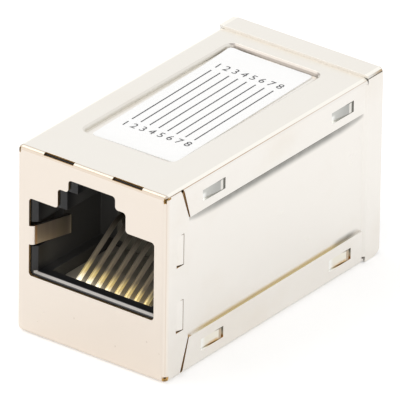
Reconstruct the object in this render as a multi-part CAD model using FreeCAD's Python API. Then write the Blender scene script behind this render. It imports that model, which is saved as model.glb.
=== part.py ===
"""Shielded eight-way inline coupler: two back-to-back jacks in a folded sheet-metal case.

Millimetres. +X is right when facing the front port, +Y runs from the front port to the
rear port, +Z is up. The origin is the centre of the case's underside. "Depth" is the
distance behind the front face. The rear jack is the front jack turned half way about Z.
"""
import FreeCAD, Part
import math
import os

V = FreeCAD.Vector

# Case
case_width = 15.75
case_length = 30.4
case_height = 17.75           # to the top of the rear strip, which lies on the top panel
sheet = 0.25                  # sheet-metal thickness
bend = 0.45                   # outer radius of every fold
seam = 0.08                   # gap where two folded edges meet
corner_relief = 0.5           # radius of the rear relief hole where three folds meet
notch_start = 7.5             # relief notches of the front corners, measured from the middle
notch_end = 7.73              # of the upper notches; the lower right one runs through to the side
notch_inset = 0.2             # from the top panel or the underside
notch_height = 0.42
notch_slot_reach = 0.6        # narrow part of the upper notches, back along the fold
notch_slot_height = 0.1
trim_radius = 1.0             # round trim of the lower left front corner
trim_reach = 1.2              # how far back the trim runs

# Front shield: ears, side flanges and the slits between them
ear_depth = 3.07
ear_end_depth = 1.93          # depth of the ear's edge at the top and the underside
slit = 0.15                   # width beside the flanges
slit_end = 0.35               # width at the top and the underside
ear_seam = 0.03               # height of the mitred gap above and below the ear
top_flange_height = 3.05
bottom_flange_height = 3.18
flange_end = 2.85             # distance from the rear face to the ends of the flanges
fold_gap = 0.08               # between the end of the long folds and the rear shield

# Snap hooks
ear_window_depth = 1.4
ear_window_length = 1.0
ear_window_height = 2.9
ear_window_heights = (5.67, 11.82)      # centres above the underside
ear_tab_clearance = 0.06
flange_window_length = 3.1
flange_window_height = 1.05
flange_window_depths = (6.45, 24.4)     # centres, from the front face
top_window_drop = 1.75                  # window centre below the top panel
bottom_window_rise = 1.72               # window centre above the underside
ramp_start = 0.2                        # behind the window's front edge
ramp_end_gap = 0.3                      # ahead of its rear edge
ramp_flat = 0.3                         # flat end of the ramp
ramp_clearance = 0.06

# Slots in the fold between front face and top panel
fold_slot_length = 3.1
fold_slot_offset = 3.6                  # from the middle to each slot's centre
fold_slot_depth = 0.42                  # reach into the top panel
fold_slot_drop = 0.2                    # reach down the front face
fold_slot_lip = 0.2                     # depth of the lip left in front of the slot

# Sunk field for the label in the top panel
label_width = 8.65
label_length = 20.0
label_thickness = 0.1
label_corner = 0.4
label_angle = 1.5                       # the label is stuck on a little askew
label_offset = -0.5                     # its centre, right of the middle
label_depth = 15.9                      # its centre, behind the front face
field_width = 9.63
field_length = 20.7
field_offset = -0.56
field_depth = 15.85
field_sink = 0.4
field_slope = 0.1                       # lean of the field's walls
field_corner = 0.7
field_lip = 0.2                         # soft edge around the field
field_lip_drop = 0.12

# Rear shield
strip_length = 2.42                     # overlap strips above and below the rear face
joggle_length = 0.4
strip_gap = 0.15
rear_seam = 0.08                        # between the strips and the sides
tail_corner = 1.3                       # radius of the sides' lower rear corner

# Port, as moulded in the housing
port_width = 12.15
port_floor = 5.9                        # above the underside
port_height = 6.68
latch_width = 6.12
latch_height = 1.82
key_width = 3.9
key_height = 1.17
port_depth = 10.4
lead_in_side = 0.38
lead_in_floor = 0.24
shield_margin_side = 0.5                # the metal opening stands clear of the port
shield_margin_floor = 0.3
opening_corner = 0.32

# Earthing tongue at the left edge of each metal opening
tongue_height = 1.75
tongue_middle = 9.38
tongue_length = 3.4
tongue_lean = 1.05                      # how far its tip stands further into the port
tongue_clearance = 0.25
tongue_pocket_wall = 0.25

# Housing
front_gap = 0.05
side_gap = 0.1
middle_gap = 0.2                        # between the two housings
roof_gap = 0.1                          # under the sunk label field
skirt_gap = 0.05
lip_depth = 1.5                         # depth of the raised lip at the mouth
ledge_height = 4.75
well_depth = 2.45
well_width = 10.4
peg_diameter = 1.5
peg_length = 1.1
peg_depth = 11.9
peg_offset = 5.0
comb_depth = 9.2
comb_height = 10.2
comb_slot_width = 0.6
comb_slot_floor = 7.6
comb_slot_end = 10.0
boss_length = 1.0                       # bosses below the slots in the fold
boss_gap = 0.03
boss_top_gap = 0.05
boss_drop = 0.14                        # of their tips below the top panel

# Circuit board and insulating sheet
film_thickness = 0.15
film_side_gap = 0.15
board_underside = 1.5
board_thickness = 1.2
board_side_gap = 0.05
board_end_gap = 0.2
skirt_width = 0.45
hole_clearance = 0.05

# Contacts
contact_count = 8
contact_pitch = 1.016
wire_diameter = 0.44
nose_radius = 0.62                      # centre line of the fold at the front
nose_depth = 3.35                       # depth of that fold's centre
run_height = 3.85                       # centre line of the run below the carrier
rise_angle = 34.0
rise_end_depth = 8.2
tip_angle = 10.0
tip_depth = 9.75
tip_bend = 1.6
tail_bend = 0.5
tail_depths = (8.0, 6.2)
tail_length = 0.45                      # below the board

# Contact carrier
carrier_gap = 0.05
carrier_nose_gap = 0.02
carrier_foot_width = 0.5
carrier_end_depth = 9.9
carrier_block_depth = 8.9

# Derived levels
half_width = case_width / 2
half_length = case_length / 2
top_panel = case_height - sheet
panel_outer = half_width - sheet
panel_inner = panel_outer - sheet
film_top = sheet + film_thickness
board_top = board_underside + board_thickness
port_top = port_floor + port_height
latch_top = port_top + latch_height
key_top = latch_top + key_height
housing_half_width = panel_inner - side_gap
housing_roof = top_panel - sheet - field_sink - roof_gap
housing_back = half_length - middle_gap / 2
housing_front = sheet + front_gap
wire_radius = wire_diameter / 2
nose_height = run_height + nose_radius
carrier_half = nose_radius - wire_radius - carrier_nose_gap
fold_centre = half_width - bend         # X of the centre of the right-hand folds
flush_start = case_length - flange_end + seam + joggle_length
flange_window_heights = (bottom_window_rise, top_panel - top_window_drop)
beyond = case_length + sheet            # reach of cutting tools past the rear face


def box(x0, x1, depth0, depth1, z0, z1):
    """Box between two X values, two depths and two heights."""
    corner = V(x0, depth0 - half_length, z0)
    return Part.makeBox(x1 - x0, depth1 - depth0, z1 - z0, corner)


def mirrored(shape):
    """The shape with its left-right mirror image."""
    return shape.fuse(shape.mirror(V(0, 0, 0), V(1, 0, 0)))


def turned(shape):
    """The shape turned half way about Z, for the rear jack."""
    copy = shape.copy()
    copy.rotate(V(0, 0, 0), V(0, 0, 1), 180)
    return copy


def closed_outline(corners):
    """Closed wire of straight edges through the corners."""
    return Part.makePolygon(corners + corners[:1])


def side_prism(points, x0, x1):
    """Prism across X from an outline of (depth, height) points."""
    outline = closed_outline([V(x0, depth - half_length, z) for depth, z in points])
    return Part.Face(outline).extrude(V(x1 - x0, 0, 0))


def plan_prism(points, z0, z1):
    """Prism up Z from an outline of (x, depth) points."""
    outline = closed_outline([V(x, depth - half_length, z0) for x, depth in points])
    return Part.Face(outline).extrude(V(0, 0, z1 - z0))


def front_prism(points, depth0, depth1):
    """Prism along Y from an outline of (x, height) points."""
    outline = closed_outline([V(x, depth0 - half_length, z) for x, z in points])
    return Part.Face(outline).extrude(V(0, depth1 - depth0, 0))


def rounded_wire(corners, radius):
    """Closed wire through the corners, each rounded by a tangent arc."""
    edges = []
    previous_end = None
    first_start = None
    for index, corner in enumerate(corners):
        before = (corners[index - 1] - corner).normalize()
        after = (corners[(index + 1) % len(corners)] - corner).normalize()
        half_angle = before.getAngle(after) / 2
        start = corner + before * (radius / math.tan(half_angle))
        end = corner + after * (radius / math.tan(half_angle))
        bisector = (before + after).normalize()
        middle = corner + bisector * (radius / math.sin(half_angle) - radius)
        if previous_end is None:
            first_start = start
        else:
            edges.append(Part.LineSegment(previous_end, start).toShape())
        edges.append(Part.Arc(start, middle, end).toShape())
        previous_end = end
    edges.append(Part.LineSegment(previous_end, first_start).toShape())
    return Part.Wire(edges)


def bent_path(corners, radii):
    """Open wire through the corners, with one bend radius for each inner corner."""
    edges = []
    previous_end = corners[0]
    for index, radius in enumerate(radii, 1):
        corner = corners[index]
        before = (corners[index - 1] - corner).normalize()
        after = (corners[index + 1] - corner).normalize()
        half_angle = before.getAngle(after) / 2
        start = corner + before * (radius / math.tan(half_angle))
        end = corner + after * (radius / math.tan(half_angle))
        bisector = (before + after).normalize()
        middle = corner + bisector * (radius / math.sin(half_angle) - radius)
        edges.append(Part.LineSegment(previous_end, start).toShape())
        edges.append(Part.Arc(start, middle, end).toShape())
        previous_end = end
    edges.append(Part.LineSegment(previous_end, corners[-1]).toShape())
    return Part.Wire(edges)


def folded_box(inset, depth0, depth1, z0, z1, folds):
    """Box with its folds rounded: the case's outside at inset 0, its inside at one sheet."""
    half = half_width - inset
    block = box(-half, half, depth0 + inset, depth1 - inset, z0 + inset, z1 - inset)
    chosen = [edge for edge in block.Edges if folds(edge.CenterOfMass)]
    return block.makeFillet(bend - inset, chosen)


def port_corners(depth, margin_side, margin_floor):
    """Corners of the stepped port outline at a depth, grown by the margins."""
    wide = port_width / 2 + margin_side
    latch = latch_width / 2 + margin_side
    key = key_width / 2 + margin_side
    shoulder = port_top + margin_floor
    step = latch_top + margin_floor
    right = [(wide, port_floor - margin_floor), (wide, shoulder), (latch, shoulder),
             (latch, step), (key, step), (key, key_top + margin_floor)]
    left = [(-x, z) for x, z in reversed(right)]
    return [V(x, depth - half_length, z) for x, z in right + left]


def port_tongue():
    """Earthing tongue, folded in from the left edge of the front opening and leaning inwards."""
    edge = -(port_width / 2 + shield_margin_side)
    turn = edge + bend
    end = bend + tongue_length
    centre = V(edge, bend - half_length, 0)
    fold = Part.makeCylinder(bend, tongue_height, centre)
    fold = fold.cut(Part.makeCylinder(bend - sheet, tongue_height, centre))
    fold = fold.common(box(edge, turn, 0, bend, 0, tongue_height))
    flat = box(edge - sheet, edge, 0, sheet, 0, tongue_height)
    leaf = plan_prism([(turn - sheet, bend), (turn, bend), (turn + tongue_lean, end),
                       (turn - sheet + tongue_lean, end)], 0, tongue_height)
    tongue = flat.fuse([fold, leaf])
    tongue.translate(V(0, 0, tongue_middle - tongue_height / 2))
    return tongue


def metal_opening():
    """Cutter for the port's opening in a shield, with rounded corners."""
    corners = port_corners(-sheet, shield_margin_side, shield_margin_floor)
    outline = rounded_wire(corners, opening_corner)
    return Part.Face(outline).extrude(V(0, 3 * sheet, 0))


def rear_corner_holes():
    """Relief holes where the rear face meets the top strip and the sides."""
    return [Part.makeSphere(corner_relief, V(x, half_length, case_height))
            for x in (-half_width, half_width)]


def upper_notches():
    """Cutters for the relief notch at the right end of the front-top fold."""
    top = top_panel - notch_inset
    return [box(notch_start, notch_end, -sheet, bend, top - notch_height, top),
            box(notch_start, half_width + sheet, -sheet, notch_slot_reach,
                top - notch_slot_height, top)]


def lower_corners():
    """Cutters for the lower front corners: a notch on the right, a round trim on the left."""
    beside = half_width + sheet
    notch = box(notch_start, beside, -sheet, bend, notch_inset, notch_inset + notch_height)
    square = box(-beside, trim_radius - half_width, -sheet, trim_reach, -sheet, trim_radius)
    centre = V(trim_radius - half_width, -half_length - sheet, trim_radius)
    round_bar = Part.makeCylinder(trim_radius, trim_reach + 2 * sheet, centre, V(0, 1, 0))
    return [notch, square.cut(round_bar)]


def rounded_rectangle(width, length, z, corner):
    """Rounded rectangle around the Z axis at a height."""
    x = width / 2
    y = length / 2
    return rounded_wire([V(-x, -y, z), V(x, -y, z), V(x, y, z), V(-x, y, z)], corner)


def label_field(lift):
    """Sunk volume of the label field, lifted from its place in the top panel."""
    outlines = []
    for grow, drop in ((-field_slope, field_sink), (0, field_lip_drop), (field_lip, 0)):
        outlines.append(rounded_rectangle(field_width + 2 * grow, field_length + 2 * grow,
                                          top_panel - drop + lift, field_corner + grow))
    field = Part.makeLoft(outlines, True, True)
    field.translate(V(field_offset, field_depth - half_length, 0))
    return field


def flange_windows():
    """Cutters for the windows of the right-hand flanges."""
    half_window = flange_window_length / 2
    half = flange_window_height / 2
    return [box(panel_inner, half_width + sheet, depth - half_window, depth + half_window,
                z - half, z + half)
            for depth in flange_window_depths for z in flange_window_heights]


def flange_ramps():
    """Ramps of the right side panel that stand out into the flange windows."""
    half = flange_window_height / 2 - ramp_clearance
    ramps = []
    for depth in flange_window_depths:
        start = depth - flange_window_length / 2 + ramp_start
        end = depth + flange_window_length / 2 - ramp_end_gap
        outline = [(panel_inner, start), (panel_outer, start), (half_width, end - ramp_flat),
                   (half_width, end), (panel_inner, end)]
        ramps += [plan_prism(outline, z - half, z + half) for z in flange_window_heights]
    return ramps


def side_opening():
    """Cutter for the right side between ear and flanges, with slits that end in the folds."""
    low = bottom_flange_height
    high = top_panel - top_flange_height
    points = [(ear_depth, low), (ear_end_depth, 0), (ear_end_depth + slit_end, 0),
              (ear_depth + slit, low), (beyond, low), (beyond, high), (ear_depth + slit, high),
              (ear_end_depth + slit_end, top_panel), (ear_end_depth, top_panel),
              (ear_depth, high)]
    opening = side_prism(points, fold_centre, half_width + sheet)
    reach = bend + sheet
    for z, way in ((bend, -1), (top_panel - bend, 1)):
        kept = front_prism([(fold_centre, z), (fold_centre + reach, z + way * reach),
                            (fold_centre, z + way * reach)], 0, ear_depth)
        opening = opening.cut(kept)
    return opening


def ear_seams():
    """Cutters for the mitred gaps between the right ear and the long folds."""
    reach = bend + sheet
    seams = []
    for z, way in ((bend, -1), (top_panel - bend, 1)):
        outline = [(fold_centre, z), (fold_centre + reach, z + way * reach),
                   (fold_centre + reach, z + way * (reach - ear_seam)),
                   (fold_centre, z - way * ear_seam)]
        seams.append(front_prism(outline, 0, ear_end_depth + slit_end / 2))
    return seams


def ear_windows():
    """Cutters for the two windows of the right ear."""
    half = ear_window_height / 2
    end = ear_window_depth + ear_window_length
    return [box(panel_inner - sheet, half_width + sheet, ear_window_depth, end, z - half, z + half)
            for z in ear_window_heights]


def fold_slot(x):
    """Cutter for a slot in the front-top fold, with a lip left on the front face."""
    lip = top_panel - fold_slot_drop
    tangent = top_panel - bend
    outline = [(-sheet, lip), (fold_slot_lip, lip), (fold_slot_lip, tangent),
               (fold_slot_depth, tangent), (fold_slot_depth, case_height), (-sheet, case_height)]
    return side_prism(outline, x - fold_slot_length / 2, x + fold_slot_length / 2)


def build_front_shield():
    """Front face, ears, top panel with sunk field, underside and side flanges."""
    open_end = case_length + bend

    def is_fold(point):
        at_front = abs(point.y + half_length) < bend
        at_side = abs(point.x) > panel_inner
        at_level = point.z < bend or point.z > top_panel - bend
        lengthwise = abs(point.y) < half_length - bend
        return (at_front and (at_side or at_level)) or (lengthwise and at_side and at_level)

    outside = folded_box(0, 0, open_end, 0, top_panel, is_fold)
    inside = folded_box(sheet, 0, open_end + 2 * sheet, 0, top_panel, is_fold)
    shell = outside.cut(inside)
    wide = half_width + sheet
    underside_end = case_length - strip_length - strip_gap
    sides_end = case_length - flange_end
    roof_end = case_length - bend - strip_gap
    cutters = [metal_opening()]
    cutters.append(box(-wide, wide, underside_end, beyond + bend, -sheet, bend))
    cutters.append(box(-wide, wide, roof_end, beyond + bend, 0, case_height))
    cutters += [fold_slot(x) for x in (-fold_slot_offset, fold_slot_offset)]
    cutters += lower_corners()
    right_hand = [side_opening(),
                  box(panel_inner, wide, sides_end, beyond + bend, bend, top_panel - bend),
                  box(panel_inner, wide, flush_start - fold_gap, beyond + bend, -sheet, case_height)]
    right_hand += ear_seams() + upper_notches() + ear_windows() + flange_windows()
    cutters += [mirrored(cutter) for cutter in right_hand]
    shield = shell.cut(cutters)
    shield = shield.fuse(label_field(-sheet)).cut(label_field(0))
    return shield.fuse(port_tongue()).removeSplitter()


def side_panel():
    """Right side panel of the rear shield: sunk under the flanges, stepped out at the rear."""
    step_start = flush_start - joggle_length
    tail = flush_start + sheet
    points = [(panel_inner, bend + seam), (panel_outer, bend + seam), (panel_outer, step_start),
              (half_width, flush_start), (half_width, tail), (panel_outer, tail),
              (panel_outer, flush_start), (panel_inner, step_start)]
    return plan_prism(points, bend + seam, top_panel - bend - seam)


def ear_tabs():
    """Tabs of the right side panel that stand out into the ear's windows."""
    start = ear_window_depth
    end = start + ear_window_length - ear_tab_clearance
    outline = [(panel_inner, start), (panel_outer, start), (half_width, end),
               (panel_outer, end)]
    half = ear_window_height / 2 - ear_tab_clearance
    return [plan_prism(outline, z - half, z + half) for z in ear_window_heights]


def tail_rounding():
    """Cutter that rounds the right side's lower rear corner."""
    square = box(panel_outer - rear_seam, half_width + sheet, case_length - tail_corner, beyond,
                 -sheet, tail_corner)
    centre = V(panel_inner, half_length - tail_corner, tail_corner)
    return square.cut(Part.makeCylinder(tail_corner, half_width, centre, V(1, 0, 0)))


def build_rear_shield():
    """Rear face with its port, overlap strips and the two sunk side panels."""
    strip_start = case_length - strip_length

    def is_fold(point):
        at_rear = abs(point.y - half_length) < bend
        at_edge = abs(point.x) > panel_inner or point.z < bend or point.z > case_height - bend
        return at_rear and at_edge

    outside = folded_box(0, 0, case_length, 0, case_height, is_fold)
    inside = folded_box(sheet, -2 * sheet, case_length, 0, case_height, is_fold)
    shell = outside.cut(inside)
    wide = half_width + sheet
    slot = panel_outer - rear_seam
    cutters = [box(-wide, wide, -sheet, strip_start, -sheet, case_height + sheet),
               box(-wide, wide, strip_start, flush_start, sheet, top_panel)]
    cutters.append(turned(metal_opening()))
    cutters += rear_corner_holes()
    right_hand = [tail_rounding(),
                  box(slot, panel_outer, strip_start, case_length - bend, -sheet, bend),
                  box(panel_outer, wide, strip_start, flush_start, -sheet, bend),
                  box(panel_inner, wide, strip_start, case_length - bend, top_panel - rear_seam,
                      top_panel)]
    cutters += [mirrored(cutter) for cutter in right_hand]
    shield = shell.cut(cutters)
    panel = side_panel().cut(ear_windows()).fuse(ear_tabs() + flange_ramps())
    panels = panel.fuse(panel.mirror(V(0, 0, 0), V(1, 0, 0)))
    return shield.fuse([panels, turned(port_tongue())]).removeSplitter()


def port_cavity():
    """Space of the port inside the housing, with its widened mouth."""
    neck = housing_front + lead_in_side
    mouth = closed_outline(port_corners(housing_front, lead_in_side, lead_in_floor))
    throat = closed_outline(port_corners(neck, 0, 0))
    lead_in = Part.makeLoft([mouth, throat], True, True)
    straight = Part.Face(throat).extrude(V(0, port_depth - neck, 0))
    comb = box(-port_width / 2, port_width / 2, comb_depth, port_depth, port_floor, comb_height)
    return straight.cut(comb).fuse(lead_in)


def contact_positions():
    """X of each contact, from left to right."""
    first = -contact_pitch * (contact_count - 1) / 2
    return [first + contact_pitch * index for index in range(contact_count)]


def fold_boss(x):
    """Boss on the housing's roof that fills a slot in the fold from below."""
    under = top_panel - sheet - boss_top_gap
    tip = top_panel - boss_drop
    tip_back = fold_slot_depth - boss_gap
    end = housing_front + boss_length
    outline = [(housing_front, housing_roof), (housing_front, tip), (tip_back, tip),
               (tip_back, under), (end, under), (end, housing_roof)]
    half = fold_slot_length / 2 - boss_gap
    return side_prism(outline, x - half, x + half)


def build_housing():
    """Moulded jack housing: port, contact well, comb, pocket, bosses, skirts and pegs."""
    half = housing_half_width
    body = box(-half, half, housing_front, housing_back, board_top, housing_roof)
    skirts = mirrored(box(half - skirt_width, half, housing_front, housing_back,
                          film_top + skirt_gap, board_top))
    pegs = []
    for x in (-peg_offset, peg_offset):
        pegs.append(Part.makeCylinder(peg_diameter / 2, peg_length,
                                      V(x, peg_depth - half_length, board_top - peg_length)))
    well = box(-well_width / 2, well_width / 2, well_depth, carrier_end_depth + carrier_gap,
               board_top - sheet, port_floor)
    ledge = box(-well_width / 2, well_width / 2, lip_depth, well_depth, ledge_height, port_floor)
    pocket_edge = -half + tongue_pocket_wall
    low = tongue_middle - tongue_height / 2 - tongue_clearance
    high = tongue_middle + tongue_height / 2 + tongue_clearance
    pocket = box(pocket_edge, -port_width / 2 + tongue_clearance, housing_front - sheet,
                 bend + tongue_length + tongue_clearance, low, high)
    slots = [box(x - comb_slot_width / 2, x + comb_slot_width / 2, comb_depth - sheet,
                 comb_slot_end, comb_slot_floor, comb_height + sheet)
             for x in contact_positions()]
    bosses = [fold_boss(x) for x in (-fold_slot_offset, fold_slot_offset)]
    housing = body.fuse([skirts] + pegs + bosses)
    housing = housing.cut([port_cavity(), well, ledge, pocket] + slots)
    return housing.removeSplitter()


def build_carrier():
    """Contact carrier: a round-nosed plate on two feet, with a block at its rear."""
    half = well_width / 2 - carrier_gap
    low = nose_height - carrier_half
    high = nose_height + carrier_half
    nose_end = V(-half, nose_depth - half_length, nose_height)
    nose = Part.makeCylinder(carrier_half, 2 * half, nose_end, V(1, 0, 0))
    plate = box(-half, half, nose_depth, carrier_end_depth, low, high)
    feet = mirrored(box(half - carrier_foot_width, half, nose_depth, carrier_end_depth,
                        board_top, low))
    block = box(-half, half, carrier_block_depth, carrier_end_depth, board_top, low)
    return nose.fuse([plate, feet, block]).removeSplitter()


def tail_depth(index):
    """Depth at which a contact goes down through the board, in two staggered rows."""
    return tail_depths[index % len(tail_depths)]


def build_contact(index):
    """Round contact wire: tail, run below the carrier, fold at its nose, rise and tip."""
    x = contact_positions()[index]
    rise = math.radians(rise_angle)
    half_turn = (math.pi - rise) / 2
    fold_corner = nose_depth - nose_radius * math.tan(half_turn)
    rise_length = rise_end_depth - fold_corner
    rise_top = run_height + rise_length * math.tan(rise)
    tip_top = rise_top + (tip_depth - rise_end_depth) * math.tan(math.radians(tip_angle))
    down = tail_depth(index)
    side_view = [(down, board_underside - tail_length), (down, run_height),
                 (fold_corner, run_height), (rise_end_depth, rise_top), (tip_depth, tip_top)]
    corners = [V(x, depth - half_length, z) for depth, z in side_view]
    path = bent_path(corners, (tail_bend, nose_radius, tip_bend))
    section = Part.Wire(Part.makeCircle(wire_radius, corners[0], V(0, 0, 1)))
    return path.makePipeShell([section], True, False)


def build_board():
    """Circuit board with a hole for each contact tail and each housing peg."""
    half_board = housing_half_width - skirt_width - board_side_gap
    end = sheet + board_end_gap
    board = box(-half_board, half_board, end, case_length - end, board_underside, board_top)
    holes = []
    for index, x in enumerate(contact_positions()):
        centre = V(x, tail_depth(index) - half_length, board_underside - sheet)
        holes.append(Part.makeCylinder(wire_radius + hole_clearance, 2 * board_thickness, centre))
    for x in (-peg_offset, peg_offset):
        centre = V(x, peg_depth - half_length, board_underside - sheet)
        holes.append(Part.makeCylinder(peg_diameter / 2 + hole_clearance, 2 * board_thickness, centre))
    return board.cut(holes + [turned(hole) for hole in holes])


def build_film():
    """Insulating sheet between the board and the underside of the case."""
    half = panel_inner - film_side_gap
    end = sheet + board_end_gap
    return box(-half, half, end, case_length - end, sheet, film_top)


def build_label():
    """Label stuck in the sunk field of the top panel."""
    outline = rounded_rectangle(label_width, label_length, top_panel - field_sink, label_corner)
    label = Part.Face(outline).extrude(V(0, 0, label_thickness))
    label.rotate(V(0, 0, 0), V(0, 0, 1), label_angle)
    label.translate(V(label_offset, label_depth - half_length, 0))
    return label


def build_all():
    """Every node of the coupler by name."""
    nodes = {
        "front_shield": build_front_shield(),
        "rear_shield": build_rear_shield(),
        "front_housing": build_housing(),
        "front_contact_carrier": build_carrier(),
        "circuit_board": build_board(),
        "insulating_sheet": build_film(),
        "top_label": build_label(),
    }
    for index in range(contact_count):
        nodes[f"front_contact_{index + 1}"] = build_contact(index)
    for name in list(nodes):
        if name.startswith("front_") and name != "front_shield":
            nodes[name.replace("front", "rear", 1)] = turned(nodes[name])
    return nodes


os.makedirs("parts", exist_ok=True)
for name, shape in build_all().items():
    solids = shape.Solids
    print(f"{name}: {len(solids)} solid, {shape.Volume:.3f} mm3, valid {shape.isValid()}")
    piece = solids[0] if len(solids) == 1 else shape
    piece.exportStep(f"parts/{name}.step")
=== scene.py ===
import math

import bmesh
import bpy
from mathutils import Matrix, Vector
from mathutils.bvhtree import BVHTree


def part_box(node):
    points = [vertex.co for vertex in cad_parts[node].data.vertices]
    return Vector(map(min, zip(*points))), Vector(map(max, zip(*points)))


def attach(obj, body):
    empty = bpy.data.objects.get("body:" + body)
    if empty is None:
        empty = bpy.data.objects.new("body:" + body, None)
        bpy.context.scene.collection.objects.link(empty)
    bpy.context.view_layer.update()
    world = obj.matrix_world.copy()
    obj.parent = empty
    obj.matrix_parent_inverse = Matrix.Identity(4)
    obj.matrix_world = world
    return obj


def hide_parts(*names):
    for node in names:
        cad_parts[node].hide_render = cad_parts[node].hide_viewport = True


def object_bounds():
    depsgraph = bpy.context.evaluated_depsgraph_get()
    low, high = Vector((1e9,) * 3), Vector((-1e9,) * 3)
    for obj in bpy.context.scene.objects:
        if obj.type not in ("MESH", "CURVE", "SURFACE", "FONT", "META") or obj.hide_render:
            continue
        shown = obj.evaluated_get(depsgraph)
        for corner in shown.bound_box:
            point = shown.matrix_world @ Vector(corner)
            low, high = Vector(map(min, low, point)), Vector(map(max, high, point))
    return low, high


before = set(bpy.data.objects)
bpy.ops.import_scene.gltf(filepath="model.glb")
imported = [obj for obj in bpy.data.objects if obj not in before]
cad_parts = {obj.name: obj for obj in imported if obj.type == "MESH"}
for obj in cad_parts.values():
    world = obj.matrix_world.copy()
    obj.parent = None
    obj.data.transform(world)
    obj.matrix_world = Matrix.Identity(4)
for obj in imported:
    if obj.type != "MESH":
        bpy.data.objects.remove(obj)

mm = 0.001
cadLow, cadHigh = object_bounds()
shieldLow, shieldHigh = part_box("front_shield")
halfWidth = shieldHigh.x
topLevel = shieldHigh.z               # outside of the top panel
frontPlane = shieldLow.y              # outside of the front face
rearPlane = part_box("rear_shield")[1].y
halfLength = (rearPlane - frontPlane) / 2
sheetGauge = cadHigh.z - topLevel     # the overlap strip lies on the top panel, one sheet higher
foldRadius = 0.45 * mm
noGlow = (0.0, 0.0, 0.0, 1.0)


# Camera, floor and light

view = {
    "azimuth": 36.834,                # degrees from straight in front, towards the right side
    "elevation": 27.463,
    "roll": 0.791,
    "distance": 0.88806,
    "lens": 947.83,                   # millimetres on a 36 mm sensor
    "aim": (-0.086 * mm, -0.073 * mm, 8.637 * mm),
}


def setCamera():
    data = bpy.data.cameras.new("camera")
    data.lens = view["lens"]
    data.sensor_width = 36
    data.clip_start = 0.05
    data.clip_end = 20
    camera = bpy.data.objects.new("camera", data)
    bpy.context.scene.collection.objects.link(camera)
    turn = Matrix.Rotation(math.radians(view["azimuth"]), 4, "Z")
    turn = turn @ Matrix.Rotation(math.radians(90 - view["elevation"]), 4, "X")
    turn = turn @ Matrix.Rotation(math.radians(view["roll"]), 4, "Z")
    back = Matrix.Translation((0, 0, view["distance"]))
    camera.matrix_world = Matrix.Translation(view["aim"]) @ turn @ back
    bpy.context.scene.camera = camera


studio = {
    "floorSize": 3.0,
    "floorDrop": 0.02 * mm,           # below the underside
    "floorTone": 0.93,
    "floorLift": 0.25,                # added for the camera, so that the floor reads white
    "floorSheen": 0.13,               # added in reflections
    "skyStrength": 0.84,              # as light
    "skySeen": 1.0,                   # to the camera and in reflections
    "lamps": {                        # direction from the object, distance, size, power, colour
        "overhead": ((-0.50, -0.16, 0.85), 0.50, 0.30, 0.40, (1.0, 0.99, 0.97)),
        "frontLeft": ((-0.62, -0.75, 0.22), 0.55, 0.45, 0.30, (1.0, 0.88, 0.80)),
        "frontRight": ((0.45, -0.80, 0.38), 0.60, 0.25, 0.25, (1.0, 0.98, 0.95)),
    },
}


def setStudio():
    floor = bpy.data.objects.new("floor", bpy.data.meshes.new("floor"))
    half = studio["floorSize"] / 2
    level = cadLow.z - studio["floorDrop"]
    corners = [(-half, -half, level), (half, -half, level), (half, half, level), (-half, half, level)]
    floor.data.from_pydata(corners, [], [(0, 1, 2, 3)])
    bpy.context.scene.collection.objects.link(floor)
    floor.data.materials.append(floorMaterial())
    world = bpy.data.worlds.new("studio")
    world.use_nodes = True
    bpy.context.scene.world = world
    graph = Signal(world.node_tree)
    camera, reflection = viewRays(graph)
    gain = studio["skySeen"] - studio["skyStrength"]
    strength = studio["skyStrength"] + camera.largest(reflection) * gain
    background = world.node_tree.nodes["Background"]
    background.inputs["Color"].default_value = (1, 1, 1, 1)
    world.node_tree.links.new(strength.socket, background.inputs["Strength"])
    for name, (direction, distance, size, power, colour) in studio["lamps"].items():
        data = bpy.data.lights.new(name, "AREA")
        data.shape = "SQUARE"
        data.size = size
        data.energy = power
        data.color = colour
        lamp = bpy.data.objects.new(name, data)
        place = Vector(direction).normalized() * distance
        lamp.location = place
        lamp.rotation_euler = place.to_track_quat("Z", "Y").to_euler()
        bpy.context.scene.collection.objects.link(lamp)
    bpy.context.scene.view_settings.view_transform = "Standard"
    print("studio ready")


# Node graphs written as expressions

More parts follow.
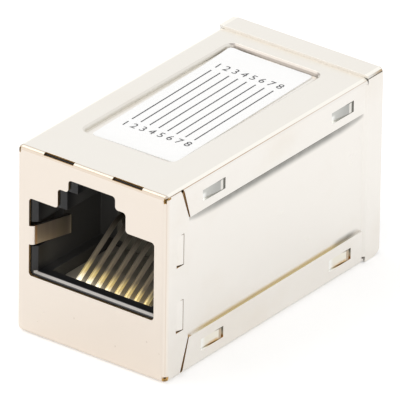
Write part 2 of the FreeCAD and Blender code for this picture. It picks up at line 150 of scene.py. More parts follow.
class Signal:                         # a socket that Python's operators can work on
    def __init__(self, tree, socket=None):
        self.tree = tree
        self.socket = socket

    def node(self, kind, settings, values, output=0):
        made = self.tree.nodes.new(kind)
        for name, value in settings.items():
            setattr(made, name, value)
        for name, value in values.items():
            if isinstance(value, Signal):
                self.tree.links.new(value.socket, made.inputs[name])
            else:
                made.inputs[name].default_value = value
        return Signal(self.tree, made.outputs[output] if made.outputs else None)

    def maths(self, operation, first, second=0.0):
        return self.node("ShaderNodeMath", {"operation": operation}, {0: first, 1: second})

    def __add__(self, other):
        return self.maths("ADD", self, other)

    def __radd__(self, other):
        return self.maths("ADD", other, self)

    def __sub__(self, other):
        return self.maths("SUBTRACT", self, other)

    def __rsub__(self, other):
        return self.maths("SUBTRACT", other, self)

    def __mul__(self, other):
        return self.maths("MULTIPLY", self, other)

    def __rmul__(self, other):
        return self.maths("MULTIPLY", other, self)

    def __truediv__(self, other):
        return self.maths("DIVIDE", self, other)

    def smallest(self, other):
        return self.maths("MINIMUM", self, other)

    def largest(self, other):
        return self.maths("MAXIMUM", self, other)

    def size(self):
        return self.maths("ABSOLUTE", self)

    def rises(self, low, high):       # 0 below low, 1 above high, smooth between
        ranged = {"From Min": low, "From Max": high, "To Min": 0.0, "To Max": 1.0, "Value": self}
        return self.node("ShaderNodeMapRange", {"interpolation_type": "SMOOTHSTEP"}, ranged)

    def falls(self, low, high):
        return 1 - self.rises(low, high)

    def within(self, low, high, soft):    # 1 between low and high, with soft ends
        return self.rises(low - soft, low) * self.falls(high, high + soft)

    def split(self):                  # the three parts of a vector
        parts = self.node("ShaderNodeSeparateXYZ", {}, {0: self})
        sockets = parts.socket.node.outputs
        return [Signal(self.tree, socket) for socket in sockets]

    def noise(self, place, scale, detail=3.0, stretch=(1, 1, 1)):
        moved = self.node("ShaderNodeMapping", {}, {"Vector": place, "Scale": stretch})
        return self.node("ShaderNodeTexNoise", {}, {"Vector": moved, "Scale": scale, "Detail": detail})

    def blend(self, amount, first, second):   # of two colours
        return self.node("ShaderNodeMix", {"data_type": "RGBA"}, {0: amount, 6: first, 7: second}, 2)

    def bump(self, height, strength, distance):
        values = {"Height": height, "Strength": strength, "Distance": distance}
        return self.node("ShaderNodeBump", {}, values)


def rgb(red, green, blue):            # a colour as it is seen on a screen, 0 to 255
    def linear(value):
        share = value / 255
        return share / 12.92 if share <= 0.04045 else ((share + 0.055) / 1.055) ** 2.4
    return (linear(red), linear(green), linear(blue), 1.0)


def startMaterial(name):
    material = bpy.data.materials.new(name)
    material.use_nodes = True
    graph = Signal(material.node_tree)
    place = graph.node("ShaderNodeTexCoord", {}, {}, "Object")
    shader = material.node_tree.nodes["Principled BSDF"]
    return material, graph, place, shader


def whereabouts(place):                   # on the object, in millimetres
    x, y, height = [part / mm for part in place.split()]
    return {
        "x": x,
        "y": y,
        "height": height,
        "width": x.size(),                            # from the middle, either way
        "sink": halfWidth / mm - x.size(),            # from the case's side
        "drop": topLevel / mm - height,               # from the top panel
        "depth": y - frontPlane / mm,                 # from the front face
        "inset": halfLength / mm - y.size(),          # from the nearer end face
    }


def connect(graph, shader, links):
    for name, value in links.items():
        if isinstance(value, Signal):
            graph.tree.links.new(value.socket, shader.inputs[name])
        else:
            shader.inputs[name].default_value = value


def viewRays(graph):                      # straight from the camera, and by way of a reflection
    rays = graph.node("ShaderNodeLightPath", {}, {})
    sockets = rays.socket.node.outputs
    camera, glossy, passed = [Signal(graph.tree, sockets[name]) for name in
                              ("Is Camera Ray", "Is Glossy Ray", "Is Transmission Ray")]
    return camera, glossy.largest(passed)


def floorMaterial():
    material, graph, place, shader = startMaterial("paleFloor")
    tone = studio["floorTone"]
    grain = graph.noise(place, 40.0)
    shade = graph.blend(grain, (tone, tone, tone, 1), (tone * 0.985, tone * 0.985, tone * 0.98, 1))
    camera, reflection = viewRays(graph)
    lift = camera * studio["floorLift"] + reflection * studio["floorSheen"]
    glow = graph.node("ShaderNodeEmission", {}, {"Color": (1, 1, 1, 1), "Strength": lift})
    matt = graph.node("ShaderNodeBsdfDiffuse", {}, {"Color": shade})
    both = graph.node("ShaderNodeAddShader", {}, {0: matt, 1: glow})
    output = graph.tree.nodes["Material Output"]
    graph.tree.links.new(both.socket, output.inputs["Surface"])
    graph.tree.nodes.remove(shader)
    return material


# Materials

nickel = {
    "colour": rgb(245, 241, 235),
    "tarnish": rgb(239, 232, 222),
    "warm": rgb(238, 227, 215),           # painted light: the front face tinted warmer, as warm light falls on it
    # painted shade: the top panel a little darker than the rest
    "roof": rgb(239, 235, 227),
    # painted shade over the front-top fold
    "frontFold": rgb(208, 197, 183),
    # painted highlight along the right-top fold
    "foldBright": rgb(255, 252, 243),
    "cutPlated": rgb(229, 226, 220),
    "brass": rgb(176, 144, 96),
    "shade": rgb(138, 137, 132),
    "shadeLine": rgb(92, 91, 87),
    "flangeGold": rgb(206, 188, 142),
    # painted shade: thin dark lines where each fold meets the flats
    "crease": rgb(178, 140, 98),
    # painted shade on the sunk field's walls, the rear wall darker still
    "recess": rgb(212, 208, 197),
    "recessRear": rgb(178, 171, 164),
    "speck": rgb(176, 158, 138),
    "specks": ((-1.75, 3.1), (2.6, 1.9), (5.9, 3.4), (7.2, 2.7)),     # x and height, millimetres
    "roughness": 0.30,
    # painted light: emission in the corner notches
    "notchGlow": rgb(122, 100, 56),
    "notchSink": (0.04, 0.575),           # from the case's side, millimetres
}
gold = {                                  # painted light and shade, palest at the wires' noses and darker upwards, with the heights of each change
    "nose": rgb(255, 244, 212),
    "above": (
        ((4.8, 5.4), rgb(240, 214, 152)),
        ((5.4, 6.1), rgb(150, 132, 96)),
        ((6.2, 7.4), rgb(98, 91, 76)),
    ),
    "noseGlow": (0.95, 0.90, 0.74, 1.0),  # painted light: emission that brightens the noses
    "glowAbove": (
        ((4.7, 5.3), (0.40, 0.32, 0.14, 1.0)),
        ((5.3, 6.0), (0.085, 0.072, 0.055, 1.0)),
    ),
    "glowEnd": (6.6, 8.7),
    "glowStart": (4.1, 4.5),
}
ramps = {                                 # lengths in millimetres
    "depths": (6.45, 24.4),
    "halfLength": 1.55,
    "halfHeight": 0.53,
    "lowHeight": 1.72,
    "highHeight": 15.75,
    "lowColour": rgb(244, 240, 228),
    "lowGold": rgb(212, 176, 112),
    # painted shade: the upper window tabs grey, lighter at the front and darker to the rear
    "highLight": rgb(206, 206, 201),
    "highDark": rgb(180, 180, 176),
    # painted highlight at the front of the window tabs
    "lit": rgb(255, 255, 252),
    # painted shade in the gap at the tabs' ends
    "gap": rgb(122, 121, 115),
    # painted light: emission in the gaps around the upper tabs
    "gapGlow": rgb(104, 103, 98),
    "gapSink": (0.06, 1.2),
}
shades = {                                # on the sunk side panels, in millimetres
    "sink": (0.22, 0.28),                 # of the panel below the case's side
    "panel": (3.3, 27.4),                 # depths of its ends
    "bandMiddle": 15.6,                   # depth of the middle of the shade below the top flange
    "bandReach": 12.2,
    "flangeEdge": 14.24,                  # height of that flange's edge
    "bandTall": (0.4, 0.5),               # at the ends, and added in the middle
    "smudgeDepths": (24.8, 26.0),         # painted shade above the lower flange, at the rear
    "smudgeHeights": (3.0, 3.3),
}
edges = {                                 # where the cut edges are brassy or golden, in millimetres
    "ears": (3.4, 3.8),                   # depth at which they end
    "rear": (28.0, 30.4),
    "windowHeights": (0.9, 2.3),
    "windowDepths": (4.5, 26.2),
    "flangeHeights": (2.9, 3.4),
    "flangeStart": (3.3, 6.0),
    "flangeEnd": (23.0, 27.0),
}
recess = {"reach": 0.6}                   # of its walls past the label, in millimetres
tongue = {                                # lengths in millimetres
    "side": 5.0,                          # nearest to the middle
    "insets": (0.3, 4.2),
    "heights": (8.3, 10.45),
    # painted shade: the tongue greyer further into the port and darkest at its tip, with a painted
    # highlight on its bend
    "bend": rgb(204, 168, 140),
    "near": rgb(182, 176, 180),
    "far": rgb(134, 132, 130),
    "tip": rgb(70, 67, 70),
    "streak": rgb(150, 142, 152),
}


def panelShades(graph, colour, where, streak):
    depth, height, sink = where["depth"], where["height"], where["sink"]
    middle = (depth - shades["bandMiddle"]) / shades["bandReach"]
    square = middle * middle
    fourth = square * square
    least, added = shades["bandTall"]
    tall = least + added * (1 - fourth * fourth).largest(0.02)
    edge = shades["flangeEdge"]
    upTo = height.falls(edge + 0.15, edge + 0.25)
    band = ((height - edge + tall) / tall).rises(0.0, 0.8) * upTo * (0.45 + 0.4 * (1 - fourth).largest(0.0))
    line = height.rises(edge - 0.09, edge - 0.01) * upTo * (1 - fourth).rises(0.2, 0.9)
    sunk = sink.within(*shades["sink"], 0.02)
    onPanel = sunk * depth.within(*shades["panel"], 0.6)
    # painted shade above the lower flange, at the rear
    smudge = depth.within(*shades["smudgeDepths"], 1.5) * height.within(*shades["smudgeHeights"], 0.5)
    colour = graph.blend(band * onPanel * (0.85 + 0.4 * streak), colour, nickel["shade"])
    colour = graph.blend(smudge * sunk * (0.4 + 0.6 * streak), colour, nickel["shade"])
    return graph.blend(line * onPanel * 0.8, colour, nickel["shadeLine"])


def foldColours(graph, colour, where, streak):
    fold = foldRadius / mm
    outX = fold - where["sink"]           # how far into each fold, from its inner tangent
    outY = fold - where["depth"]
    outZ = fold - where["drop"]
    # painted highlight along the right-top fold
    lit = (outZ - outX).rises(0.0, 0.03) * outX.within(0.04, 0.4, 0.03) * outZ.rises(0.1, 0.2)
    colour = graph.blend(lit * outY.falls(-0.1, 0.1) * 0.8, colour, nickel["foldBright"])
    # painted shade over the front-top fold
    colour = graph.blend(outY.rises(0.0, 0.1) * outZ.rises(0.05, 0.15), colour, nickel["frontFold"])
    # painted shade: thin dark lines where each fold meets the flats, fading towards the rear
    fade = 0.5 + 0.5 * where["depth"].falls(8.0, 24.0)
    for first, second, strength in ((outX - 0.05, outZ, 0.95), (outX, outY, 0.25), (outY, outZ, 0.3)):
        apart = (first - second).size()
        crease = apart.falls(0.01, 0.075) * first.rises(0.1, 0.2) * second.rises(0.1, 0.2)
        colour = graph.blend(crease * fade * strength * (0.7 + 0.5 * streak), colour, nickel["crease"])
    return colour


def recessColours(graph, colour, where):
    fieldLow, fieldHigh = [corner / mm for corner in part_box("top_label")]
    reach = recess["reach"]
    # painted shade on the sunk field's walls, darker deeper down and darker still at the rear wall
    sunk = where["height"].rises(fieldLow.z, fieldLow.z + 0.02) * where["drop"].rises(0.0, 0.02)
    sunk = sunk * where["x"].within(fieldLow.x - reach, fieldHigh.x + reach, 0.3)
    sunk = sunk * where["y"].within(fieldLow.y - reach, fieldHigh.y + reach, 0.3)
    deep = where["drop"].rises(0.05, 0.35)
    colour = graph.blend(sunk * (0.45 + 0.55 * deep), colour, nickel["recess"])
    atRear = where["y"].rises(fieldHigh.y - 0.1, fieldHigh.y + 0.1)
    return graph.blend(sunk * atRear, colour, nickel["recessRear"])


def edgeColours(graph, where, streak):
    depth, height = where["depth"], where["height"]
    brassy = depth.falls(*edges["ears"])
    brassy = brassy.largest(depth.rises(*edges["rear"]) * where["drop"].falls(-0.05, 0.1))
    inWindows = height.within(*edges["windowHeights"], 0.1) * depth.within(*edges["windowDepths"], 0.3)
    brassy = brassy.largest(inWindows * 0.6) * (0.75 + 0.5 * streak)
    colour = graph.blend(brassy, nickel["cutPlated"], nickel["brass"])
    onFlange = height.within(*edges["flangeHeights"], 0.1) * depth.rises(*edges["flangeStart"])
    return graph.blend(onFlange * depth.falls(*edges["flangeEnd"]), colour, nickel["flangeGold"])


def rampColours(graph, colour, where, streak):
    sunk = where["sink"].within(0.006, 0.26, 0.004)
    for middle in ramps["depths"]:
        along = (where["depth"] - middle) / ramps["halfLength"]
        inside = along.within(-0.99, 1.02, 0.01) * sunk
        end = along.rises(0.78, 0.82)
        for centre, top in ((ramps["highHeight"], True), (ramps["lowHeight"], False)):
            across = (where["height"] - centre) / ramps["halfHeight"]
            here = inside * across.within(-1.02, 1.02, 0.02)
            if top:
                # painted shade: the upper tabs grey, darker to the rear, with a painted highlight at the
                # front corner and painted shade in the gap at the end
                tone = graph.blend(along.rises(-0.9, 0.6), ramps["highLight"], ramps["highDark"])
                corner = along.falls(-0.75, -0.45) * across.falls(-0.3, 0.3)
                tone = graph.blend(corner, tone, ramps["lit"])
                tone = graph.blend(end, tone, ramps["gap"])
            else:
                gilt = (across + 0.9 * streak).falls(-0.5, 0.2) * along.rises(-0.6, 0.2)
                tone = graph.blend(gilt, ramps["lowColour"], ramps["lowGold"])
                # painted highlight at the front of the lower tabs, and painted shade in the gap at their
                # ends
                tone = graph.blend(along.falls(-0.7, -0.4), tone, ramps["lit"])
                tone = graph.blend(end * across.rises(-0.9, 0.6) * 0.6, tone, ramps["gap"])
            colour = graph.blend(here, colour, tone)
    return colour


def tongueColours(graph, colour, where, place):
    inset = where["inset"]
    brushed = graph.noise(place, 1500.0, 2.0, (1, 1, 0.05))
    # painted shade: greyer further into the port and darkest at the tip, with a painted highlight on the
    # bend
    tone = graph.blend(inset.rises(0.5, 3.8), tongue["near"], tongue["far"])
    tone = graph.blend(brushed.rises(0.4, 0.7) * 0.4, tone, tongue["streak"])
    tone = graph.blend(inset.falls(0.45, 0.6) * 0.8, tone, tongue["bend"])
    tone = graph.blend(inset.rises(3.5, 3.8), tone, tongue["tip"])
    facing = 1 - 2 * where["y"].rises(-1.0, 1.0)      # the rear tongue is on the other side
    side = (where["x"] * facing).falls(-tongue["side"] - 0.2, -tongue["side"])
    here = side * inset.within(*tongue["insets"], 0.02) * where["height"].within(*tongue["heights"], 0.05)
    return graph.blend(here * where["width"].within(4.6, 7.1, 0.05), colour, tone)


def nickelGlow(graph, where, cut):        # painted light: emission that brightens the notches and the gaps around the window tabs
    depth, sink = where["depth"], where["sink"]
    nearEdge = where["height"].falls(0.9, 1.0).largest(where["drop"].falls(0.7, 0.8))
    inNotch = cut * nearEdge * depth.falls(0.7, 0.8) * sink.within(*nickel["notchSink"], 0.02)
    glow = graph.blend(inNotch, noGlow, nickel["notchGlow"])
    offMiddle = (where["height"] - ramps["highHeight"]).size()
    for middle in ramps["depths"]:
        along = (depth - middle) / ramps["halfLength"]
        atEnd = along.within(0.8, 1.25, 0.02) * offMiddle.falls(0.5, 0.54)
        atSides = along.within(-1.1, 1.25, 0.02) * offMiddle.within(0.455, 0.6, 0.005)
        inGap = atEnd.largest(atSides) * sink.within(*ramps["gapSink"], 0.02)
        glow = graph.blend(inGap, glow, ramps["gapGlow"])
    return glow


def nickelMaterial():
    material, graph, place, shader = startMaterial("nickelPlate")
    where = whereabouts(place)
    cloud = graph.noise(place, 160.0, 4.0)
    grain = graph.noise(place, 2600.0, 2.0, (1, 0.12, 1))
    streak = graph.noise(place, 900.0, 3.0)
    cut = graph.node("ShaderNodeAttribute", {"attribute_name": "cutEdge"}, {}, "Fac")
    colour = graph.blend(cloud.rises(0.45, 0.8) * 0.6, nickel["colour"], nickel["tarnish"])
    # painted light: the front face tinted warmer
    colour = graph.blend(where["depth"].falls(0.1, 0.5) * 0.9, colour, nickel["warm"])
    # painted shade: the top panel a little darker than the rest
    colour = graph.blend(where["drop"].falls(0.01, 0.03) * 0.7, colour, nickel["roof"])
    colour = panelShades(graph, colour, where, streak)
    colour = foldColours(graph, colour, where, streak)
    colour = recessColours(graph, colour, where)
    for x, z in nickel["specks"]:
        away = (where["x"] - x).size() * 1.6 + (where["height"] - z).size()
        speck = (away + 0.25 * (streak - 0.5)).falls(0.03, 0.16) * where["depth"].falls(0.02, 0.1)
        colour = graph.blend(speck * 0.3, colour, nickel["speck"])
    colour = graph.blend(cut, colour, edgeColours(graph, where, streak))
    colour = rampColours(graph, colour, where, streak)
    colour = tongueColours(graph, colour, where, place)
    connect(graph, shader, {
        "Base Color": colour,
        "Metallic": 1.0,
        "Roughness": nickel["roughness"] + 0.08 * (cloud - 0.5) + 0.06 * (grain - 0.5) + 0.1 * cut,
        "Emission Color": nickelGlow(graph, where, cut),
        "Emission Strength": 1.0,
        "Normal": graph.bump(grain + 0.6 * cloud, 0.10, 0.02 * mm),
    })
    return material


def plasticMaterial(name, tone, inside, roughness):
    material, graph, place, shader = startMaterial(name)
    where = whereabouts(place)
    inset, height = where["inset"], where["height"]
    cloud = graph.noise(place, 300.0, 3.0)
    spark = graph.noise(place, 6000.0, 2.0)
    colour = graph.blend(cloud, tone, tuple(part * 1.35 for part in tone[:3]) + (1.0,))
    colour = graph.blend(inset.rises(0.8, 2.5) * 0.9, colour, inside)
    # painted light on the plastic behind the wires' upper ends
    rows = inset.rises(*moulding["rowInset"]) * height.within(*moulding["rowHeights"], 1.6)
    rows = rows * where["width"].falls(*moulding["rowWidth"])
    colour = graph.blend(rows * (0.5 + 0.6 * cloud), colour, moulding["rows"])
    # painted highlight on the lip below the port
    worn = height.falls(*moulding["lipTop"]) * height.rises(*moulding["lipFoot"])
    worn = worn * inset.within(*moulding["lipInset"], 0.05)
    colour = graph.blend(worn * (0.7 + 0.4 * cloud), colour, moulding["rubbed"])
    connect(graph, shader, {
        "Base Color": colour,
        "Roughness": roughness + 0.10 * (cloud - 0.5) + 0.05 * (spark - 0.5),
        "Normal": graph.bump(spark, 0.15, 0.01 * mm),
    })
    return material


def goldMaterial():
    material, graph, place, shader = startMaterial("contactGold")
    where = whereabouts(place)
    streak = graph.noise(place, 1400.0, 3.0, (1, 0.15, 0.15))
    level = where["height"] + 0.9 * (streak - 0.5) + 0.08 * where["x"]
    # painted light and shade: palest at the noses and darker upwards into the port, with emission as
    # painted light on the noses
    colour, glow = gold["nose"], gold["noseGlow"]
    for heights, tone in gold["above"]:
        colour = graph.blend(level.rises(*heights), colour, tone)
    for heights, light in gold["glowAbove"]:
        glow = graph.blend(level.rises(*heights), glow, light)
    unlit = level.rises(*gold["glowEnd"]).largest(where["height"].falls(*gold["glowStart"]))
    glow = graph.blend(unlit, glow, noGlow)
    connect(graph, shader, {
        "Base Color": colour,
        "Metallic": 1.0,
        "Roughness": 0.30 + 0.12 * streak,
        "Emission Color": glow,
        "Emission Strength": 1.0,
        "Normal": graph.bump(streak, 0.08, 0.01 * mm),
    })
    return material


def paperMaterial():
    material, graph, place, shader = startMaterial("labelFilm")
    fibre = graph.noise(place, 5000.0, 3.0)
    cloud = graph.noise(place, 250.0, 2.0)
    connect(graph, shader, {
        "Base Color": graph.blend(cloud, rgb(254, 254, 254), rgb(252, 252, 251)),
        "Roughness": 0.5 + 0.12 * fibre,
        "Normal": graph.bump(fibre, 0.06, 0.01 * mm),
    })
    return material


def inkMaterial():
    material, graph, place, shader = startMaterial("labelInk")
    patch = graph.noise(place, 3000.0, 3.0)
    connect(graph, shader, {
        "Base Color": graph.blend(patch, rgb(58, 58, 60), rgb(96, 96, 98)),
        "Roughness": 0.55 + 0.15 * patch,
        "Normal": graph.bump(patch, 0.06, 0.01 * mm),
    })
    return material


def laminateMaterial():
    material, graph, place, shader = startMaterial("boardLaminate")
    weave = graph.noise(place, 1800.0, 2.0)
    connect(graph, shader, {
        "Base Color": graph.blend(weave, rgb(28, 84, 52), rgb(36, 98, 62)),
        "Roughness": 0.35 + 0.15 * weave,
        "Normal": graph.bump(weave, 0.1, 0.01 * mm),
    })
    return material


def filmMaterial():
    material, graph, place, shader = startMaterial("insulatingFilm")
    ripple = graph.noise(place, 500.0, 2.0)
    connect(graph, shader, {
        "Base Color": graph.blend(ripple, rgb(196, 140, 50), rgb(206, 156, 70)),
        "Roughness": 0.2 + 0.15 * ripple,
        "Normal": graph.bump(ripple, 0.1, 0.02 * mm),
    })
    return material


# Mesh helpers

def cleanCopy(node, name, joinWithin):
    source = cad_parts[node].data
    mesh = bpy.data.meshes.new(name)
    mesh.from_pydata([v.co for v in source.vertices], [], [list(p.vertices) for p in source.polygons])
    edit = bmesh.new()
    edit.from_mesh(mesh)
    bmesh.ops.remove_doubles(edit, verts=edit.verts, dist=joinWithin)
    return mesh, edit


def markCutEdges(edit, wallLimit):
    layer = edit.faces.layers.float.new("cutEdge")
    labelLow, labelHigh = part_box("top_label")
    margin = 1.3 * mm                 # from the label to outside the sunk field's walls
    edit.faces.ensure_lookup_table()
    edit.normal_update()
    walls = BVHTree.FromBMesh(edit)
    for face in edit.faces:
        inward = -face.normal
        start = face.calc_center_median() + inward * wallLimit * 0.01
        hit = walls.ray_cast(start, inward)
        thin = hit[3] is not None and hit[3] < wallLimit
        across = labelLow.x - margin < start.x < labelHigh.x + margin
        along = labelLow.y - margin < start.y < labelHigh.y + margin
        drawn = across and along and start.z > labelLow.z - wallLimit
        face[layer] = 0.0 if thin or drawn else 1.0


def joinFlats(edit):
    bmesh.ops.dissolve_limit(edit, angle_limit=math.radians(0.5), verts=edit.verts, edges=edit.edges)


def finishMesh(mesh, edit, name, smoothAngle):
    edit.to_mesh(mesh)
    edit.free()
    mesh.shade_smooth()
    mesh.set_sharp_from_angle(angle=math.radians(smoothAngle))
    piece = bpy.data.objects.new(name, mesh)
    bpy.context.scene.collection.objects.link(piece)
    return piece


def roundEdges(piece, width, limit):
    bevel = piece.modifiers.new("edges", "BEVEL")
    bevel.width = width
    bevel.segments = 2
    bevel.limit_method = "ANGLE"
    bevel.angle_limit = math.radians(limit)
    bevel.use_clamp_overlap = False
    bevel.harden_normals = True


def settle(piece, slotName, material, *nodes):
    piece.data.materials.clear()
    piece.data.materials.append(material)
    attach(piece, "root")
    if nodes:
        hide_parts(*nodes)


# Folded shields

shield = {
    "edgeRadius": 0.014 * mm,
    "joinWithin": 0.008 * mm,
    "wallLimit": 1.5 * sheetGauge,
}


def makeShield(node, name, material):
    mesh, edit = cleanCopy(node, name, shield["joinWithin"])
    markCutEdges(edit, shield["wallLimit"])
    joinFlats(edit)
    piece = finishMesh(mesh, edit, name, 30)
    roundEdges(piece, shield["edgeRadius"], 30)
    settle(piece, "shield_metal", material, node)
    print(name, "made")


# Moulded pieces

moulding = {
    "edgeRadius": 0.05 * mm,
    "joinWithin": 0.005 * mm,
    "rubbed": rgb(212, 208, 203),         # painted highlight on the lip below the port, lengths in millimetres
    "lipTop": (5.91, 5.97),
    "lipFoot": (5.5, 5.6),
    "lipInset": (0.42, 0.60),
    "rows": rgb(128, 124, 112),           # painted light behind the wires' upper ends
    "rowInset": (5.6, 6.6),
    "rowHeights": (5.4, 7.6),
    "rowWidth": (4.2, 4.4),               # from the middle, either way
}


def makeMoulding(node, name, slotName, material):
    mesh, edit = cleanCopy(node, name, moulding["joinWithin"])
    joinFlats(edit)
    piece = finishMesh(mesh, edit, name, 30)
    roundEdges(piece, moulding["edgeRadius"], 30)
    settle(piece, slotName, material, node)
    print(name, "made")


# Contact wires

wire = {
    "radius": 0.22,                       # all lengths in millimetres
    "sides": 16,
    "steps": 10,                          # of each bend
    "pitch": 1.016,
    "count": 8,
    "tails": ((8.0, 1.05), (6.2, 1.05)),  # depth and lower end of the odd and even tails
    "run": 3.85,
    "noseDepth": 3.35,                    # of the centre of the fold at the nose
    "riseEnd": 8.2,
    "riseAngle": 34.0,
    "tipEnd": 9.75,
    "tipAngle": 10.0,
    "bends": (0.0, 0.5, 0.62, 1.6, 0.0),
}


def wireOutline(tail):
    rise, tip = math.radians(wire["riseAngle"]), math.radians(wire["tipAngle"])
    nose = wire["noseDepth"] - wire["bends"][2] * math.tan((math.pi - rise) / 2)
    riseTop = wire["run"] + (wire["riseEnd"] - nose) * math.tan(rise)
    tipTop = riseTop + (wire["tipEnd"] - wire["riseEnd"]) * math.tan(tip)
    corners = [tail, (tail[0], wire["run"]), (nose, wire["run"]), (wire["riseEnd"], riseTop),
               (wire["tipEnd"], tipTop)]
    return [(0, frontPlane + depth * mm, height * mm) for depth, height in corners]


def wireTree():
    tree = bpy.data.node_groups.new("contactRow", "GeometryNodeTree")
    inputs = {}
    tree.interface.new_socket("Outline", in_out="INPUT", socket_type="NodeSocketGeometry")
    for name, kind in (("Count", "NodeSocketInt"), ("Step", "NodeSocketVector"),
                       ("Radius", "NodeSocketFloat"), ("Material", "NodeSocketMaterial")):
        inputs[name] = tree.interface.new_socket(name, in_out="INPUT", socket_type=kind).identifier
    tree.interface.new_socket("Wires", in_out="OUTPUT", socket_type="NodeSocketGeometry")
    graph = Signal(tree)
    sockets = graph.node("NodeGroupInput", {}, {}).socket.node.outputs
    wanted = {name: Signal(tree, sockets[name]) for name in ("Outline", *inputs)}
    bend = graph.node("GeometryNodeInputNamedAttribute", {"data_type": "FLOAT"}, {"Name": "bend"})
    curve = graph.node("GeometryNodeMeshToCurve", {}, {"Mesh": wanted["Outline"]})
    curve = graph.node("GeometryNodeFilletCurve", {"mode": "POLY"},
                       {"Curve": curve, "Radius": bend, "Limit Radius": True, "Count": wire["steps"]})
    ring = graph.node("GeometryNodeCurvePrimitiveCircle", {},
                      {"Resolution": wire["sides"], "Radius": wanted["Radius"]})
    body = graph.node("GeometryNodeCurveToMesh", {},
                      {"Curve": curve, "Profile Curve": ring, "Fill Caps": True})
    row = graph.node("GeometryNodeMeshLine", {}, {"Count": wanted["Count"], "Offset": wanted["Step"]})
    placed = graph.node("GeometryNodeInstanceOnPoints", {}, {"Points": row, "Instance": body})
    real = graph.node("GeometryNodeRealizeInstances", {}, {"Geometry": placed})
    clad = graph.node("GeometryNodeSetMaterial", {}, {"Geometry": real, "Material": wanted["Material"]})
    graph.node("NodeGroupOutput", {}, {"Wires": clad})
    return tree, inputs


def plainMesh(piece, name):               # what the modifiers make of it, as a mesh of its own
    bpy.context.view_layer.update()
    ready = piece.evaluated_get(bpy.context.evaluated_depsgraph_get())
    mesh = bpy.data.meshes.new_from_object(ready)
    mesh.name = name
    return mesh


def makeContacts(material):
    tree, inputs = wireTree()
    wires = []
    for parity, tail in enumerate(wire["tails"]):
        outline = bpy.data.meshes.new("outline")
        corners = wireOutline(tail)
        outline.from_pydata(corners, [(i, i + 1) for i in range(len(corners) - 1)], [])
        bends = outline.attributes.new("bend", "FLOAT", "POINT")
        for index, radius in enumerate(wire["bends"]):
            bends.data[index].value = radius * mm
        holder = bpy.data.objects.new("outline", outline)
        bpy.context.scene.collection.objects.link(holder)
        modifier = holder.modifiers.new("row", "NODES")
        modifier.node_group = tree
        modifier[inputs["Count"]] = wire["count"] // 2
        modifier[inputs["Step"]] = (2 * wire["pitch"] * mm, 0, 0)
        modifier[inputs["Radius"]] = wire["radius"] * mm
        modifier[inputs["Material"]] = material
        mesh = plainMesh(holder, "wires")
        first = (parity - (wire["count"] - 1) / 2) * wire["pitch"] * mm
        mesh.transform(Matrix.Translation((first, 0, 0)))
        wires.append(mesh)
        bpy.data.objects.remove(holder)
    for end, turn in (("front", 0), ("rear", math.pi)):
        edit = bmesh.new()
        for mesh in wires:
            edit.from_mesh(mesh)
        bmesh.ops.rotate(edit, matrix=Matrix.Rotation(turn, 3, "Z"), verts=edit.verts)
        bmesh.ops.recalc_face_normals(edit, faces=edit.faces)
        name = end + "Contacts"
        piece = finishMesh(bpy.data.meshes.new(name), edit, name, 50)
        nodes = [f"{end}_contact_{index + 1}" for index in range(wire["count"])]
        settle(piece, "gold_contact", material, *nodes)
        print(name, "made")


# Label and its print: eight straight-through lines between numbered ends

label = {
    "width": 8.65,                        # all lengths in millimetres
    "length": 20.0,
    "corner": 0.4,
    "thickness": 0.09,
    "seat": 0.005,                        # its underside, above the field's floor
    "angle": 1.5,
    "cells": (24, 56),
    "lift": 0.18,                         # of the far left corner, which has come away a little
    "liftReach": 5.0,
    "linePitch": 0.92,
    "lineWidth": 0.12,
    "lineHalf": 5.7,
    "figure": 1.2,
    "figurePlace": 6.65,
    "printLift": 0.012,
}


def labelLift(x, y):
    away = math.hypot(x + label["width"] / 2, y - label["length"] / 2)
    share = max(0.0, 1 - away / label["liftReach"])
    return label["lift"] * share * share


def labelTurn():
    low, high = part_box("top_label")
    centre = (low + high) / 2
    place = Matrix.Translation((centre.x, centre.y, low.z + label["seat"] * mm))
    return place @ Matrix.Rotation(math.radians(label["angle"]), 4, "Z") @ Matrix.Scale(mm, 4)


def makeLabel(material):
    wide, long = label["width"] / 2, label["length"] / 2
    corner = label["corner"]
    columns, rows = label["cells"]
    edit = bmesh.new()
    grid = []
    for row in range(rows + 1):
        line = []
        for column in range(columns + 1):
            x = wide * (2 * column / columns - 1)
            y = long * (2 * row / rows - 1)
            offX, offY = abs(x) - wide + corner, abs(y) - long + corner
            if offX > 0 and offY > 0 and math.hypot(offX, offY) > corner:
                pull = corner / math.hypot(offX, offY)
                x = math.copysign(wide - corner + offX * pull, x)
                y = math.copysign(long - corner + offY * pull, y)
            z = labelLift(x, y)
            line.append((edit.verts.new((x, y, z)), edit.verts.new((x, y, z + label["thickness"]))))
        grid.append(line)
    for row in range(rows):
        for column in range(columns):
            around = [grid[row][column], grid[row][column + 1], grid[row + 1][column + 1],
                      grid[row + 1][column]]
            edit.faces.new([pair[1] for pair in around])
            edit.faces.new([pair[0] for pair in reversed(around)])
    rim = [grid[0][c] for c in range(columns)] + [grid[r][columns] for r in range(rows)]
    rim += [grid[rows][c] for c in range(columns, 0, -1)] + [grid[r][0] for r in range(rows, 0, -1)]
    for here, following in zip(rim, rim[1:] + rim[:1]):
        edit.faces.new((here[0], following[0], following[1], here[1]))
    edit.transform(labelTurn())
    piece = finishMesh(bpy.data.meshes.new("topLabel"), edit, "topLabel", 40)
    settle(piece, "label_film", material, "top_label")
    print("label made")


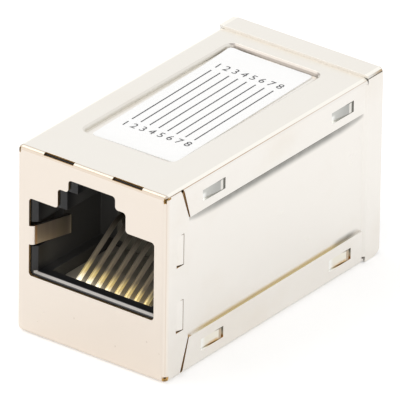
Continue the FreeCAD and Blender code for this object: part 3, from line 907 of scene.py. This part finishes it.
def lineTree():
    tree = bpy.data.node_groups.new("labelLines", "GeometryNodeTree")
    inputs = {}
    for name, kind in (("Count", "NodeSocketInt"), ("Pitch", "NodeSocketFloat"),
                       ("Width", "NodeSocketFloat"), ("Length", "NodeSocketFloat"),
                       ("Material", "NodeSocketMaterial")):
        inputs[name] = tree.interface.new_socket(name, in_out="INPUT", socket_type=kind).identifier
    tree.interface.new_socket("Lines", in_out="OUTPUT", socket_type="NodeSocketGeometry")
    graph = Signal(tree)
    sockets = graph.node("NodeGroupInput", {}, {}).socket.node.outputs
    wanted = {name: Signal(tree, sockets[name]) for name in inputs}
    step = graph.node("ShaderNodeCombineXYZ", {}, {"X": wanted["Pitch"], "Y": 0.0, "Z": 0.0})
    start = graph.node("ShaderNodeCombineXYZ", {}, {"X": wanted["Pitch"] * (wanted["Count"] - 1) * -0.5})
    row = graph.node("GeometryNodeMeshLine", {},
                     {"Count": wanted["Count"], "Offset": step, "Start Location": start})
    strip = graph.node("GeometryNodeMeshGrid", {}, {"Size X": wanted["Width"], "Size Y": wanted["Length"],
                                                    "Vertices X": 2, "Vertices Y": 30})
    placed = graph.node("GeometryNodeInstanceOnPoints", {}, {"Points": row, "Instance": strip})
    real = graph.node("GeometryNodeRealizeInstances", {}, {"Geometry": placed})
    clad = graph.node("GeometryNodeSetMaterial", {}, {"Geometry": real, "Material": wanted["Material"]})
    graph.node("NodeGroupOutput", {}, {"Lines": clad})
    return tree, inputs


def figureMesh(text, size):
    curve = bpy.data.curves.new("figure", "FONT")
    curve.body = text
    curve.size = size
    curve.resolution_u = 3
    curve.align_x = "CENTER"
    curve.align_y = "CENTER"
    holder = bpy.data.objects.new("figure", curve)
    bpy.context.scene.collection.objects.link(holder)
    mesh = plainMesh(holder, "figure")
    bpy.data.objects.remove(holder)
    return mesh


def makePrint(material):
    tree, inputs = lineTree()
    holder = bpy.data.objects.new("lines", bpy.data.meshes.new("lines"))
    bpy.context.scene.collection.objects.link(holder)
    modifier = holder.modifiers.new("lines", "NODES")
    modifier.node_group = tree
    modifier[inputs["Count"]] = wire["count"]
    modifier[inputs["Pitch"]] = label["linePitch"]
    modifier[inputs["Width"]] = label["lineWidth"]
    modifier[inputs["Length"]] = 2 * label["lineHalf"]
    modifier[inputs["Material"]] = material
    edit = bmesh.new()
    edit.from_mesh(plainMesh(holder, "lines"))
    bpy.data.objects.remove(holder)
    for index in range(wire["count"]):
        mesh = figureMesh(str(index + 1), label["figure"])
        across = (index - (wire["count"] - 1) / 2) * label["linePitch"]
        for place in (-label["figurePlace"], label["figurePlace"]):
            copy = mesh.copy()
            copy.transform(Matrix.Translation((across, place, 0)))
            edit.from_mesh(copy)
    for vertex in edit.verts:
        x, y, z = vertex.co
        vertex.co.z = labelLift(x, y) + label["thickness"] + label["printLift"]
    edit.transform(labelTurn())
    bmesh.ops.triangulate(edit, faces=edit.faces)
    piece = finishMesh(bpy.data.meshes.new("labelPrint"), edit, "labelPrint", 40)
    settle(piece, "label_film", material)
    print("print made")


setCamera()
setStudio()

nickelPlate = nickelMaterial()
blackPlastic = plasticMaterial("mouldedBlack", rgb(30, 30, 31), rgb(74, 73, 71), 0.38)
carrierPlastic = plasticMaterial("carrierGrey", rgb(50, 48, 44), rgb(176, 169, 158), 0.5)
goldPlate = goldMaterial()

makeShield("front_shield", "frontShield", nickelPlate)
makeShield("rear_shield", "rearShield", nickelPlate)
makeMoulding("front_housing", "frontHousing", "black_plastic", blackPlastic)
makeMoulding("rear_housing", "rearHousing", "black_plastic", blackPlastic)
makeMoulding("front_contact_carrier", "frontCarrier", "carrier_plastic", carrierPlastic)
makeMoulding("rear_contact_carrier", "rearCarrier", "carrier_plastic", carrierPlastic)

makeContacts(goldPlate)
makeLabel(paperMaterial())
makePrint(inkMaterial())

for node, material in (("circuit_board", laminateMaterial()), ("insulating_sheet", filmMaterial())):
    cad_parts[node].data.materials.clear()
    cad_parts[node].data.materials.append(material)
print("board and film coloured")
